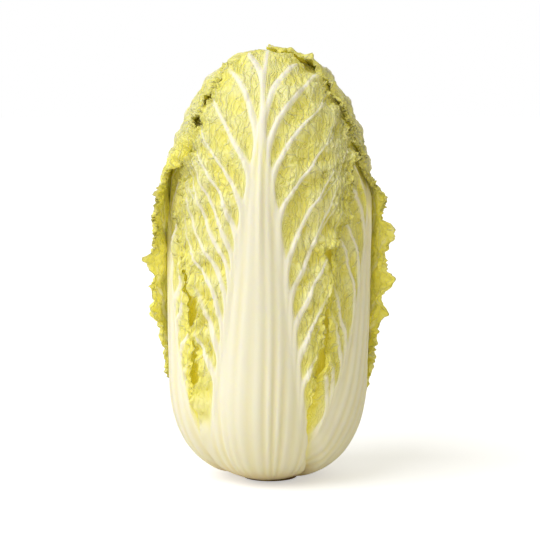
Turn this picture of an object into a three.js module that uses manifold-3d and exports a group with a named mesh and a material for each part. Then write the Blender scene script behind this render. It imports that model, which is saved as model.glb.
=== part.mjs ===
// A napa cabbage head standing on its cut stem, in millimetres, +Z up, origin at the middle of the cut.
//
// The head's skin is a bowl, a barrel and a dome, one on top of the other. Every place in the head is
// given by an eye on the axis, a unit direction from that eye, and a depth under the skin. The bowl is
// seen from an eye at the hips, the dome from an eye at the shoulders, and the barrel from an eye level
// with the place. Leaves lie in this skin one under another, so a leaf is two depths at every place that
// it covers: its outer face and its inner face.
import Module from "manifold-3d";
import * as THREE from "three";
import { mergeVertices } from "three/addons/utils/BufferGeometryUtils.js";

// The head.
const HEAD_HEIGHT = 296; // table to the crown of the smooth skin
const BODY_RADIUS = 71; // radius of the barrel
const HIP_HEIGHT = 80; // where the bowl meets the barrel
const DOME_HEIGHT = 106; // how far the dome rises above the barrel
const BOWL_POWER = 2.6; // 2 is an ellipse, more is squarer
const DOME_POWER = 2;

// The core: a cone of stem inside the bowl, cut flat on the table.
const CORE_HALF_ANGLE = 14; // degrees, at an apex level with the hips
const CORE_CLEARANCE = 1.3; // degrees between the core's cone and the foot of each leaf
const CUT_RIM = 1.2; // bevel round the cut face
const BUD_CLEARANCE = 1; // core's top to the underside of the bud

// The leaves.
const LEAF_CLEARANCE = 2.4; // between leaves that lie one on another
const BLADE_THICKNESS = 1.8;
const RIB_HALF_WIDTH = 45; // at the foot, were the leaf not narrowed by its neighbours
const RIB_REACH = 270; // length of the midline over which the rib tapers
const RIB_TIP_HALF_WIDTH = 2;
const RIB_BULGE = 6; // how far the edges of a rib lie under its middle
const FLARE_SIDE = 0.55; // share of a blade's half-width from which its edge bends outwards
const FLARE_RISE = [0.3, 0.5]; // shares of a leaf's length over which its flare grows
const FLARE_FALL = [0.8, 1]; // and over which it fades
const RELIEF = 0.25; // rise of a leaf for each mm past the edge of the leaf over it
const FRINGE = 14; // mm past an edge that are still kept as low as the edge
const TIP_ROUNDING = 0.2; // share of a leaf's length over which its tip is rounded

const SHOULDER_HEIGHT = HEAD_HEIGHT - DOME_HEIGHT;
const FOOT_LATITUDE = 90 - CORE_HALF_ANGLE - CORE_CLEARANCE; // below the hips

// Length of a midline over each part of the skin, from the leaf's foot at the core to the pole.
const QUARTER_TURN = Math.PI / 4; // a quarter of an ellipse, for each mm of the sum of its half-axes
const BOWL_LENGTH = (QUARTER_TURN * (BODY_RADIUS + HIP_HEIGHT) * FOOT_LATITUDE) / 90;
const BARREL_LENGTH = SHOULDER_HEIGHT - HIP_HEIGHT;
const DOME_QUARTER = QUARTER_TURN * (BODY_RADIUS + DOME_HEIGHT);

// Half-width of a blade in degrees round the head, at shares of its length from its foot to where its
// tip starts to round.
const OUTER_OUTLINE = [
  [0, 36],
  [0.38, 36],
  [0.52, 47],
  [0.62, 56],
  [0.8, 56],
];
const SIDE_OUTLINE = [
  [0, 31],
  [0.3, 31],
  [0.5, 42],
  [0.65, 52],
  [0.8, 52],
];
const INNER_OUTLINE = [
  [0, 50],
  [0.3, 52],
  [0.6, 60],
  [0.8, 56],
];

// Each ring of leaves, from the outside in. Within a ring, a leaf lies over those named after it.
// azimuth is where a leaf's foot is, in degrees round the head from +X; the front faces -Y. lean turns
// the leaf further round as it rises. tip is how far over the dome it reaches: 90 is the pole. depth is
// where its midline lies under the skin, rib how thick it is at the foot, and flare how far its edges
// bend outwards, in mm. across and rows count its facets, the rows over the bowl, barrel and dome.
const RINGS = [
  {
    outline: OUTER_OUTLINE,
    depth: 0,
    rib: 9,
    flare: 16,
    across: 10,
    rows: [5, 4, 9],
    color: 0xe9e5a0,
    leaves: [
      { name: "outer_leaf_back_right", azimuth: 32, lean: -2, tip: 88 },
      { name: "outer_leaf_front", azimuth: -99, lean: 4, tip: 86, flare: 1.5 },
      { name: "outer_leaf_back_left", azimuth: 145, lean: 2, tip: 84, flare: 14 },
    ],
  },
  {
    outline: SIDE_OUTLINE,
    depth: 0.5,
    rib: 8,
    flare: 0,
    across: 10,
    rows: [5, 4, 9],
    color: 0xe6e196,
    leaves: [
      { name: "side_leaf_right", azimuth: -33, lean: 10, tip: 80 },
      { name: "side_leaf_left", azimuth: -161, lean: 3, tip: 78 },
      { name: "side_leaf_back", azimuth: 90, lean: 0, tip: 80 },
    ],
  },
  {
    outline: INNER_OUTLINE,
    depth: 9,
    rib: 6,
    flare: 0,
    across: 10,
    rows: [4, 4, 7],
    color: 0xe8dd7c,
    leaves: [
      { name: "inner_leaf_1", azimuth: -60, lean: 0, tip: 86 },
      { name: "inner_leaf_2", azimuth: 60, lean: 0, tip: 84 },
      { name: "inner_leaf_3", azimuth: 180, lean: 0, tip: 82 },
    ],
  },
  {
    outline: INNER_OUTLINE,
    depth: 16,
    rib: 5,
    flare: 0,
    across: 10,
    rows: [4, 4, 7],
    color: 0xe8d96c,
    leaves: [
      { name: "inner_leaf_4", azimuth: 0, lean: 0, tip: 84 },
      { name: "inner_leaf_5", azimuth: 120, lean: 0, tip: 82 },
      { name: "inner_leaf_6", azimuth: -120, lean: 0, tip: 80 },
    ],
  },
  {
    outline: INNER_OUTLINE,
    depth: 24,
    rib: 4,
    flare: 0,
    across: 10,
    rows: [4, 4, 7],
    color: 0xead86a,
    leaves: [
      { name: "heart_leaf_1", azimuth: -45, lean: 0, tip: 78 },
      { name: "heart_leaf_2", azimuth: 75, lean: 0, tip: 78 },
      { name: "heart_leaf_3", azimuth: -165, lean: 0, tip: 78 },
    ],
  },
  {
    outline: INNER_OUTLINE,
    depth: 31,
    rib: 3,
    flare: 0,
    across: 8,
    rows: [3, 3, 5],
    color: 0xebd765,
    leaves: [
      { name: "heart_leaf_4", azimuth: 15, lean: 0, tip: 76 },
      { name: "heart_leaf_5", azimuth: 135, lean: 0, tip: 76 },
      { name: "heart_leaf_6", azimuth: -105, lean: 0, tip: 76 },
    ],
  },
];
const LEAN_TURNS = 3; // passes that settle where a leaning leaf's midline is
const TINY = 1e-9;
const EDGE_STEPS = 40; // samples of each side of a leaf's edge, closest together at its tip
const CUT_ROOM = 0.5; // mm kept between leaves where their facets would meet
const OVER_ROOM = 4; // mm over a leaf in which nothing of a deeper leaf is left
const MERGE = 1e-3; // mm between corners that are one corner
const BUD_SIDES = 18;
const BUD_STEPS = 6; // over each of the bowl and the dome
const CORE_SIDES = 30;

const radians = THREE.MathUtils.degToRad;
const degrees = THREE.MathUtils.radToDeg;
const clamp = THREE.MathUtils.clamp;
const smooth = THREE.MathUtils.smoothstep;

const LEAVES = RINGS.flatMap(({ leaves, ...ring }) =>
  leaves.map((leaf) => ({ ...ring, ...leaf })),
);
const EDGES = []; // each leaf's edge, from the outside in

/** Value at x of a line through points, given in order of x. */
function along(points, x) {
  const next = points.findIndex(([at]) => at >= x);
  if (next <= 0) return points[next < 0 ? points.length - 1 : 0][1];
  const [x0, y0] = points[next - 1];
  const [x1, y1] = points[next];
  return y0 + ((y1 - y0) * (x - x0)) / (x1 - x0);
}

/** Distance from the eye to the skin in a direction whose z is rise. */
function skinRadius(rise) {
  const power = rise < 0 ? BOWL_POWER : DOME_POWER;
  const upright = rise < 0 ? HIP_HEIGHT : DOME_HEIGHT;
  const level = Math.sqrt(Math.max(0, 1 - rise * rise));
  return (
    ((level / BODY_RADIUS) ** power + (Math.abs(rise) / upright) ** power) **
    (-1 / power)
  );
}

/** A direction turned round the head's axis. */
function turned({ x, y, z }, angle) {
  const cos = Math.cos(angle);
  const sin = Math.sin(angle);
  return new THREE.Vector3(x * cos - y * sin, x * sin + y * cos, z);
}

/** The point at a depth under the skin, as the barrel measures it. */
function pointAt({ eye, direction }, depth) {
  const share = 1 - depth / BODY_RADIUS;
  return direction
    .clone()
    .multiplyScalar(share * skinRadius(direction.z))
    .add(new THREE.Vector3(0, 0, eye));
}

/** Length of a leaf's midline over the skin. */
function midlineLength(leaf) {
  return BOWL_LENGTH + BARREL_LENGTH + (DOME_QUARTER * leaf.tip) / 90;
}

/** Where a leaf's midline is at a share of its length, in radians round the head. */
function azimuthOf(leaf, share) {
  return radians(leaf.azimuth + leaf.lean * share);
}

/** The place on the skin at an angle across a leaf, in degrees, and a share of its length. */
function placeOn(leaf, across, share) {
  const beta = radians(across);
  const travel = share * midlineLength(leaf);
  const direction = new THREE.Vector3(Math.cos(beta), Math.sin(beta), 0);
  let eye = HIP_HEIGHT;
  if (travel < BOWL_LENGTH) {
    const latitude = radians(FOOT_LATITUDE * (travel / BOWL_LENGTH - 1));
    direction.multiplyScalar(Math.cos(latitude)).setZ(Math.sin(latitude));
  } else if (travel < BOWL_LENGTH + BARREL_LENGTH) {
    eye = HIP_HEIGHT + travel - BOWL_LENGTH;
  } else {
    eye = SHOULDER_HEIGHT;
    const over = travel - BOWL_LENGTH - BARREL_LENGTH;
    const psi = radians((90 * over) / DOME_QUARTER);
    direction.set(direction.x * Math.cos(psi), direction.y, Math.sin(psi));
    direction.normalize();
  }
  return { eye, direction: turned(direction, azimuthOf(leaf, share)) };
}

/** The angle across a leaf and the share of its length at a place: placeOn the other way round. */
function locate(leaf, { eye, direction }) {
  let share = 0.5;
  let across = 0;
  for (let turn = 0; turn < LEAN_TURNS; turn++) {
    const { x, y, z } = turned(direction, -azimuthOf(leaf, clamp(share, 0, 1)));
    let travel = BOWL_LENGTH + eye - HIP_HEIGHT;
    if (z > 0) {
      const product = (y * z) ** 2;
      const root = Math.sqrt(Math.max(0, 1 - 4 * product));
      const stretch = product < TINY ? 1 : Math.sqrt((1 - root) / (2 * product));
      const psi = degrees(Math.asin(clamp(stretch * z, -1, 1)));
      across = Math.asin(clamp(stretch * y, -1, 1));
      travel += (DOME_QUARTER * (x < 0 ? 180 - psi : psi)) / 90;
    } else {
      across = Math.atan2(y, x);
      travel += (BOWL_LENGTH * degrees(Math.asin(z))) / FOOT_LATITUDE;
    }
    share = travel / midlineLength(leaf);
  }
  return { across: degrees(across), share };
}

/** Half-width of a leaf's blade in degrees. */
function halfAngle(leaf, share) {
  const rounding = clamp((1 - share) / TIP_ROUNDING, 0, 1);
  return along(leaf.outline, share) * Math.sqrt(rounding);
}

/** Half-width of a leaf's rib in degrees. */
function ribHalfAngle(leaf, share) {
  const travel = share * midlineLength(leaf);
  const width =
    RIB_HALF_WIDTH * Math.max(0, 1 - travel / RIB_REACH) + RIB_TIP_HALF_WIDTH;
  return Math.min(degrees(width / BODY_RADIUS), along(leaf.outline, share));
}

/** Depth of a leaf's outer face and its thickness, were nothing lying on it. */
function freeShape(leaf, across, share) {
  const offRib = Math.min(1, Math.abs(across) / ribHalfAngle(leaf, share)) ** 2;
  const body = Math.max(0, 1 - share);
  const margin = smooth(Math.abs(across) / along(leaf.outline, share), FLARE_SIDE, 1);
  const flare = leaf.flare * margin * smooth(share, ...FLARE_RISE) * (1 - smooth(share, ...FLARE_FALL));
  const outer = leaf.depth + RIB_BULGE * offRib * body - flare;
  const ribExcess = Math.max(0, leaf.rib * Math.sqrt(body) - BLADE_THICKNESS);
  return { outer, thickness: BLADE_THICKNESS + ribExcess * (1 - offRib) };
}

/** Depth of the inner face of a leaf at a place where its blade lies, with a ceiling over it. */
function innerFace(leaf, { across, share }, ceiling) {
  const { outer, thickness } = freeShape(leaf, across, share);
  return Math.max(outer, ceiling) + thickness;
}

/** Samples of a leaf's edge: each a point of the skin, and the depth of the leaf's inner face there. */
function edgeOf(number) {
  const leaf = LEAVES[number];
  const samples = [];
  for (let step = -EDGE_STEPS; step <= EDGE_STEPS; step++) {
    const share = 1 - (step / EDGE_STEPS) ** 2;
    const across = Math.sign(step) * halfAngle(leaf, share);
    const place = placeOn(leaf, across, share);
    const inner = innerFace(leaf, { across, share }, ceilingOver(number, place));
    samples.push({ point: pointAt(place, 0), inner });
  }
  return samples;
}

/** Least depth that the leaf of this number may have at a place, under all the leaves before it. */
function ceilingOver(number, place) {
  const point = pointAt(place, 0);
  const narrowing = point.z < HIP_HEIGHT ? Math.hypot(point.x, point.y) / BODY_RADIUS : 1;
  let ceiling = -Infinity;
  for (let other = 0; other < number; other++) {
    const leaf = LEAVES[other];
    const at = locate(leaf, place);
    const covered = at.share <= 1 && Math.abs(at.across) <= halfAngle(leaf, at.share);
    let least = covered ? innerFace(leaf, at, ceiling) : -Infinity;
    if (!covered) {
      for (const sample of EDGES[other]) {
        const past = Math.max(0, sample.point.distanceTo(point) / narrowing - FRINGE);
        least = Math.max(least, sample.inner - past * RELIEF);
      }
    }
    ceiling = Math.max(ceiling, least + LEAF_CLEARANCE);
  }
  return ceiling;
}

/** Depths of both faces of the leaf of this number at a place. */
function facesAt(number, place) {
  const leaf = LEAVES[number];
  const { across, share } = locate(leaf, place);
  const { outer, thickness } = freeShape(leaf, across, share);
  const face = Math.max(outer, ceilingOver(number, place));
  return { outer: face, inner: face + thickness };
}

/** How far up a leaf each row of its corners meets the midline: so many rows to each part of the skin. */
function rowHeights(leaf) {
  const length = midlineLength(leaf);
  const ends = [0, BOWL_LENGTH / length, (BOWL_LENGTH + BARREL_LENGTH) / length, 1];
  const heights = [0];
  leaf.rows.forEach((count, part) => {
    for (let row = 1; row <= count; row++)
      heights.push(THREE.MathUtils.lerp(ends[part], ends[part + 1], row / count));
  });
  return heights;
}

/** Angle across and share of the length at a corner: side is -1 to 1, and rows droop towards the sides. */
function cornerAt(leaf, side, height) {
  const droop = TIP_ROUNDING * height ** 3;
  return { across: side * along(leaf.outline, height - droop), share: height - droop * side * side };
}

/** A corner of a leaf's outer or inner face, moved in by so much: side is -1 to 1, from edge to edge. */
function cornerPoint(number, side, height, isOuter, inwards) {
  const { across, share } = cornerAt(LEAVES[number], side, height);
  const place = placeOn(LEAVES[number], across, share);
  const { outer, inner } = facesAt(number, place);
  return pointAt(place, (isOuter ? outer : inner) + inwards);
}

/**
 * A leaf: a slab of segments bent over the head, its front to the outer face and its back to the inner.
 * A cutter is the same leaf with room added: a little under it and past its edges, and more over it.
 */
function leafGeometry(number, isCutter = false) {
  const leaf = LEAVES[number];
  const heights = rowHeights(leaf);
  const rows = heights.length - 1;
  const slab = new THREE.BoxGeometry(2, rows, 1, leaf.across, rows, 1);
  const position = slab.getAttribute("position");
  for (let i = 0; i < position.count; i++) {
    const side = position.getX(i);
    const row = Math.round(position.getY(i) + rows / 2);
    const isOuter = position.getZ(i) > 0;
    const inwards = isCutter ? (isOuter ? -OVER_ROOM : CUT_ROOM) : 0;
    const cornerOf = (x, y) => cornerPoint(number, x, heights[y], isOuter, inwards);
    const corner = cornerOf(side, row);
    const point = corner.clone();
    if (isCutter && Math.abs(side) === 1) {
      point.add(corner.clone().sub(cornerOf(side - (2 * side) / leaf.across, row)).setLength(CUT_ROOM));
    }
    if (isCutter && row % rows === 0) {
      point.add(corner.clone().sub(cornerOf(side, row === 0 ? 1 : rows - 1)).setLength(CUT_ROOM));
    }
    position.setXYZ(i, point.x, point.y, point.z);
  }
  return slab;
}

/** A geometry as a solid for cutting. */
function solidOf(geometry) {
  const bare = new THREE.BufferGeometry().setIndex(geometry.index);
  bare.setAttribute("position", geometry.getAttribute("position"));
  const { index, attributes } = mergeVertices(bare, MERGE);
  return new manifold.Manifold(
    new manifold.Mesh({
      numProp: 3,
      vertProperties: attributes.position.array,
      triVerts: new Uint32Array(index.array),
    }),
  );
}

/** The largest body of a solid, as a geometry. */
function geometryOf(solid) {
  const bodies = solid.decompose().sort((a, b) => b.volume() - a.volume());
  const { vertProperties, triVerts } = bodies[0].getMesh();
  const geometry = new THREE.BufferGeometry();
  geometry.setAttribute("position", new THREE.BufferAttribute(vertProperties, 3));
  geometry.setIndex(new THREE.BufferAttribute(triVerts, 1));
  return geometry;
}

/** The leaf of this number, shaved where it would come too close to a leaf before it. */
function shavedLeaf(number, cutters) {
  const whole = solidOf(leafGeometry(number));
  return geometryOf(cutters.slice(0, number).reduce((rest, cutter) => rest.subtract(cutter), whole));
}

/** The deepest that any leaf's inner face reaches. */
function deepestFace() {
  let deepest = 0;
  LEAVES.forEach((leaf, number) => {
    for (const height of rowHeights(leaf)) {
      for (let column = 0; column <= leaf.across; column++) {
        const { across, share } = cornerAt(leaf, (2 * column) / leaf.across - 1, height);
        deepest = Math.max(deepest, facesAt(number, placeOn(leaf, across, share)).inner);
      }
    }
  });
  return deepest;
}

/** The bud at the heart: the skin's own shape, at a depth under every leaf. */
function budGeometry(depth) {
  const profile = [];
  const add = (eye, latitude) => {
    const direction = new THREE.Vector3(Math.cos(latitude), 0, Math.sin(latitude));
    const { x, z } = pointAt({ eye, direction }, depth);
    profile.push(new THREE.Vector2(Math.max(0, x), z));
  };
  for (let step = -BUD_STEPS; step <= 0; step++)
    add(HIP_HEIGHT, ((step / BUD_STEPS) * Math.PI) / 2);
  for (let step = 0; step <= BUD_STEPS; step++)
    add(SHOULDER_HEIGHT, ((step / BUD_STEPS) * Math.PI) / 2);
  profile[0].x = 0;
  profile[profile.length - 1].x = 0;
  return new THREE.LatheGeometry(profile, BUD_SIDES).rotateX(Math.PI / 2);
}

/** The core: a cone of stem with a flat cut face at z = 0 and a flat top under the bud. */
function coreGeometry(budDepth) {
  const slope = Math.tan(radians(CORE_HALF_ANGLE));
  const budFoot = (HIP_HEIGHT * budDepth) / BODY_RADIUS;
  const top = budFoot - BUD_CLEARANCE;
  const radius = (height) => (HIP_HEIGHT - height) * slope;
  const profile = [
    new THREE.Vector2(0, 0),
    new THREE.Vector2(radius(CUT_RIM) - CUT_RIM, 0),
    new THREE.Vector2(radius(CUT_RIM), CUT_RIM),
    new THREE.Vector2(radius(top), top),
    new THREE.Vector2(0, top),
  ];
  return new THREE.LatheGeometry(profile, CORE_SIDES).rotateX(Math.PI / 2);
}

/** A node of the part. */
function piece(name, geometry, color, roughness) {
  const material = new THREE.MeshStandardMaterial({ color, roughness, metalness: 0 });
  geometry.computeVertexNormals();
  const mesh = new THREE.Mesh(geometry, material);
  mesh.name = name;
  return mesh;
}

const manifold = await Module();
manifold.setup();
LEAVES.forEach((leaf, number) => EDGES.push(edgeOf(number)));
const budDepth = deepestFace() + LEAF_CLEARANCE;
const head = new THREE.Group();
head.add(piece("core_stem", coreGeometry(budDepth), 0xefe9cf, 0.6));
head.add(piece("heart_bud", budGeometry(budDepth), 0xefdb6a, 0.55));
const cutters = LEAVES.map((leaf, number) => solidOf(leafGeometry(number, true)));
LEAVES.forEach((leaf, number) => {
  head.add(piece(leaf.name, shavedLeaf(number, cutters), leaf.color, 0.5));
});

export default head;
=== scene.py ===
"""A head of napa cabbage standing on its trimmed butt.

Every leaf is a thin closed shell that is laid over the skin of the head and then given its
fluted stalk, branching veins, blistered blade and frilled margin. Lengths are millimetres
until a mesh is finished, and metres after that.
"""
import logging
import math
from dataclasses import dataclass, field
from enum import Enum
from itertools import product

import bmesh
import bpy
import numpy as np
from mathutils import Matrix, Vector


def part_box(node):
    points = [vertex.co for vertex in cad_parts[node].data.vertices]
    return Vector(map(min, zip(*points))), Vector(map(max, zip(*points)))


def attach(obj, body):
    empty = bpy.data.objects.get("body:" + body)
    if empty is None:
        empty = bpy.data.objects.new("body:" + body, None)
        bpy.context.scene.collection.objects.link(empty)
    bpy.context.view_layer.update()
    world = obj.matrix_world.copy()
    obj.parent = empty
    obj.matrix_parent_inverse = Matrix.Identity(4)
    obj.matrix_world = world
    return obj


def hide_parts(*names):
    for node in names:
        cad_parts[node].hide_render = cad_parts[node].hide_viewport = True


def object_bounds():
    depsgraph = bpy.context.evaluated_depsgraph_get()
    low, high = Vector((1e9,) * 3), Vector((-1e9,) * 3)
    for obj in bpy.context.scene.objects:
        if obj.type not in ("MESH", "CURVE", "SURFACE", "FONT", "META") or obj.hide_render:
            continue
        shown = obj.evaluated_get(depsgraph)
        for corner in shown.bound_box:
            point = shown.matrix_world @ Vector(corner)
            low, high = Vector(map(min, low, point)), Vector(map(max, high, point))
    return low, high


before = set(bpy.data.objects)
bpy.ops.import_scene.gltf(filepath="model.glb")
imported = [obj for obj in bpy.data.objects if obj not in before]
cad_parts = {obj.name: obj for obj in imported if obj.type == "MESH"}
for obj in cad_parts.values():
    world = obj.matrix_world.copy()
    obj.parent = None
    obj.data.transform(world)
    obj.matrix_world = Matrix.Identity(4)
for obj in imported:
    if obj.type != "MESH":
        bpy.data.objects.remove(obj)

log = logging.getLogger("cabbage_head")

Array = np.ndarray
Outline = tuple[tuple[float, float], ...]
Colour = tuple[float, float, float]

CAD_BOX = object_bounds()
MM = 0.001
BODY = "root"


# ---------------------------------------------------------------------------------------------
# Small curves and seeded unevenness
# ---------------------------------------------------------------------------------------------


def smoothstep(low: float, high: float, value: Array) -> Array:
    """Ease from 0 at low to 1 at high."""
    share = np.clip((value - low) / (high - low), 0.0, 1.0)
    return share * share * (3.0 - 2.0 * share)


def along(outline: Outline, share: Array) -> Array:
    """Read a half width at a share of the leaf's length."""
    shares, widths = zip(*outline)
    return np.interp(share, shares, widths)


def soft_max(first: Array, second: Array, blend: float) -> Array:
    """The larger of two heights, with the crease between them rounded over blend."""
    return 0.5 * (first + second + np.sqrt((first - second) ** 2 + blend**2))


class Ripple:
    """A smooth random wave field made of a few cosines, about one unit high."""

    def __init__(self, rng: np.random.Generator, wavelength: float, spread: float = 0.35,
                 waves: int = 10, stretch: float = 1.0) -> None:
        """Draw the waves.

        Args:
            rng: The seeded source of the draws.
            wavelength: The middle wavelength, in the unit of the coordinates.
            spread: How far the wavelengths stray from the middle one, as a share.
            waves: How many cosines are summed.
            stretch: How much longer the waves are along the second coordinate.
        """
        length = wavelength * (1.0 + spread * rng.uniform(-1.0, 1.0, waves))
        angle = rng.uniform(0.0, math.tau, waves)
        self.first = math.tau / length * np.cos(angle)
        self.second = math.tau / length * np.sin(angle) / stretch
        self.straight = math.tau / length
        self.phase = rng.uniform(0.0, math.tau, waves)
        self.gain = 0.7 * math.sqrt(2.0 / waves)

    def over(self, x: Array, y: Array) -> Array:
        """Read the field over a surface."""
        total = np.zeros_like(x)
        for a, b, phase in zip(self.first, self.second, self.phase):
            total += np.cos(a * x + b * y + phase)
        return total * self.gain

    def on_line(self, x: Array) -> Array:
        """Read the field along a line."""
        total = np.zeros_like(x)
        for a, phase in zip(self.straight, self.phase):
            total += np.cos(a * x + phase)
        return total * self.gain


class Scallops:
    """A row of uneven rounded lobes with sharp notches between them, from 0 to 1 high."""

    ROUNDNESS = 0.55

    def __init__(self, rng: np.random.Generator, width: float, unrest: float = 0.28) -> None:
        """Draw the row.

        Args:
            rng: The seeded source of the draws.
            width: The middle width of a lobe.
            unrest: How unevenly the lobes are spaced, as a share of their width.
        """
        self.width = width
        self.drift = Ripple(rng, width * 3.7)
        self.gain = Ripple(rng, width * 2.9)
        self.unrest = unrest

    def on_line(self, x: Array) -> Array:
        """Read the row along a line."""
        phase = x / self.width + self.unrest * self.drift.on_line(x)
        lobes = np.abs(np.cos(math.pi * phase)) ** self.ROUNDNESS
        return lobes * (0.72 + 0.28 * self.gain.on_line(x))


class Cells:
    """Irregular cells on a plane, as the meshes of a leaf's vein net."""

    TABLE = 64
    FAR = 9.0
    SAME = 1e-6

    def __init__(self, rng: np.random.Generator, size: float, jitter: float = 0.9) -> None:
        """Draw one centre in each square of a lattice.

        Args:
            rng: The seeded source of the draws.
            size: The lattice's spacing.
            jitter: How far a centre strays inside its square, as a share.
        """
        self.size = size
        self.offsets = 0.5 + jitter * (rng.random((self.TABLE, self.TABLE, 2)) - 0.5)
        self.levels = rng.random((self.TABLE, self.TABLE))

    def read(self, x: Array, y: Array) -> tuple[Array, Array]:
        """Find the nearest cell wall.

        Args:
            x: First coordinates.
            y: Second coordinates.

        Returns:
            The distance to the nearest wall, and a random level from 0 to 1 for the cell.
        """
        x, y = x / self.size, y / self.size
        column, row = np.floor(x).astype(int), np.floor(y).astype(int)
        centres = []
        for i, j in product(range(-2, 3), repeat=2):
            a, b = (column + i) % self.TABLE, (row + j) % self.TABLE
            centres.append((column + i + self.offsets[a, b, 0],
                            row + j + self.offsets[a, b, 1], self.levels[a, b]))
        squares = np.array([(x - cx) ** 2 + (y - cy) ** 2 for cx, cy, _ in centres])
        nearest = squares.argmin(0)[None]
        own_x, own_y, level, own = (np.take_along_axis(np.array(values), nearest, 0)[0]
                                    for values in (*zip(*centres), squares))
        wall = np.full_like(x, self.FAR)
        for (cx, cy, _), square in zip(centres, squares):
            apart = np.hypot(cx - own_x, cy - own_y)
            reach = (square - own) / (2.0 * np.maximum(apart, self.SAME))
            wall = np.minimum(wall, np.where(apart > self.SAME, reach, self.FAR))
        return wall * self.size, level


# ---------------------------------------------------------------------------------------------
# The head that the leaves are wrapped round
# ---------------------------------------------------------------------------------------------


@dataclass(frozen=True)
class HeadShape:
    """The skin of the head: a round bowl, a straight barrel and a dome over it."""

    height: float
    radius: float
    hip: float = 80.0
    dome: float = 106.0
    bowl_power: float = 2.6
    dome_power: float = 2.0
    foot_latitude: float = 74.7

    @property
    def shoulder(self) -> float:
        """Height at which the barrel ends and the dome begins."""
        return self.height - self.dome

    @property
    def bowl_length(self) -> float:
        """Way along the skin from a leaf's foot to the hip."""
        return math.pi / 4.0 * (self.radius + self.hip) * self.foot_latitude / 90.0

    @property
    def straight_end(self) -> float:
        """Way along the skin from a leaf's foot to the shoulder."""
        return self.bowl_length + self.shoulder - self.hip

    @property
    def dome_quarter(self) -> float:
        """Way along the skin from the shoulder to the very top."""
        return math.pi / 4.0 * (self.radius + self.dome)

    def skin_radius(self, rise: Array) -> Array:
        """Distance from the eye of the shape to its skin, for the z of a direction."""
        power = np.where(rise < 0.0, self.bowl_power, self.dome_power)
        upright = np.where(rise < 0.0, self.hip, self.dome)
        level = np.sqrt(np.maximum(0.0, 1.0 - rise * rise))
        return ((level / self.radius) ** power + (np.abs(rise) / upright) ** power) ** (-1.0 / power)

    def aim(self, across: Array, travel: Array) -> tuple[Array, Array]:
        """Find where a place on a leaf lies, for a leaf whose midrib faces +X.

        Args:
            across: Degrees to the side of the midrib.
            travel: Way up from the leaf's foot.

        Returns:
            The height of the eye, and the unit direction from the eye, as (n, 3).
        """
        beta = np.radians(across)
        latitude = np.radians(self.foot_latitude * np.minimum(travel / self.bowl_length - 1.0, 0.0))
        climb = np.radians(90.0 * np.maximum(travel - self.straight_end, 0.0) / self.dome_quarter)
        eye = np.clip(self.hip + travel - self.bowl_length, self.hip, self.shoulder)
        low = np.stack([np.cos(beta) * np.cos(latitude), np.sin(beta) * np.cos(latitude),
                        np.sin(latitude)], -1)
        high = np.stack([np.cos(beta) * np.cos(climb), np.sin(beta), np.sin(climb)], -1)
        high /= np.linalg.norm(high, axis=-1, keepdims=True)
        return eye, np.where((climb > 0.0)[..., None], high, low)

    def point(self, eye: Array, direction: Array, depth: Array) -> Array:
        """Place on the ray from the eye, depth under the skin."""
        reach = (1.0 - depth / self.radius) * self.skin_radius(direction[..., 2])
        place = direction * reach[..., None]
        place[..., 2] += eye
        return place

    def chart(self, travel: Array, direction: Array) -> tuple[Array, Array]:
        """Read the azimuth and the level of a direction.

        Args:
            travel: Way up from the leaf's foot, which is the level below the shoulder.
            direction: Unit directions in the head's frame.

        Returns:
            Azimuth in degrees, and level as a way up along the skin.
        """
        azimuth = np.degrees(np.arctan2(direction[..., 1], direction[..., 0])) % 360.0
        latitude = np.degrees(np.arcsin(np.clip(direction[..., 2], -1.0, 1.0)))
        high = self.straight_end + latitude / 90.0 * self.dome_quarter
        return azimuth, np.where(travel > self.straight_end, high, travel)


def turned(direction: Array, degrees: Array) -> Array:
    """Turn directions round the upright axis."""
    angle = np.radians(degrees)
    x, y, z = direction[..., 0], direction[..., 1], direction[..., 2]
    return np.stack([x * np.cos(angle) - y * np.sin(angle), x * np.sin(angle) + y * np.cos(angle),
                     z], -1)


# ---------------------------------------------------------------------------------------------
# Leaves
# ---------------------------------------------------------------------------------------------


class Ring(Enum):
    """The rings of leaves, from the outside in, by the name of their finish."""

    OUTER = "outer_leaf"
    SIDE = "side_leaf"
    INNER = "inner_leaf"
    HEART = "heart_leaf"


@dataclass(frozen=True)
class RingHabit:
    """What the leaves of one ring have in common."""

    columns: int
    rows: int
    blade: float = 1.2
    frill: float = 1.0
    relief: float = 1.0
    left: Outline = ((0.0, 50.0), (0.3, 52.0), (0.6, 60.0), (0.8, 56.0))
    right: Outline = ((0.0, 50.0), (0.3, 52.0), (0.6, 60.0), (0.8, 56.0))


@dataclass
class LeafField:
    """Every quantity of a leaf over its grid, with the first index along the columns."""

    side: Array
    height: Array
    across: Array
    share: Array
    travel: Array
    out: Array
    margin: Array
    rim_way: Array

    @property
    def hand(self) -> Array:
        """Side of the midrib: -1 on the left and 1 on the right."""
        return np.sign(self.side)

    @property
    def lateral(self) -> Array:
        """Distance from the midrib, negative on the left."""
        return self.out * self.hand

    def ripple(self, rng: np.random.Generator, wavelength: float, stretch: float = 1.0) -> Array:
        """Draw a ripple and read it over the leaf."""
        return Ripple(rng, wavelength, stretch=stretch).over(self.lateral, self.travel)

    def rim(self, fade: float) -> Array:
        """Fall from 1 at the margin, to a third of that at the distance fade."""
        return np.exp(-self.margin / fade)

    def band(self, place: float, breadth: float) -> Array:
        """Rise to 1 along a line inside the margin."""
        return np.exp(-((self.margin - place) / breadth) ** 2)


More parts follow.
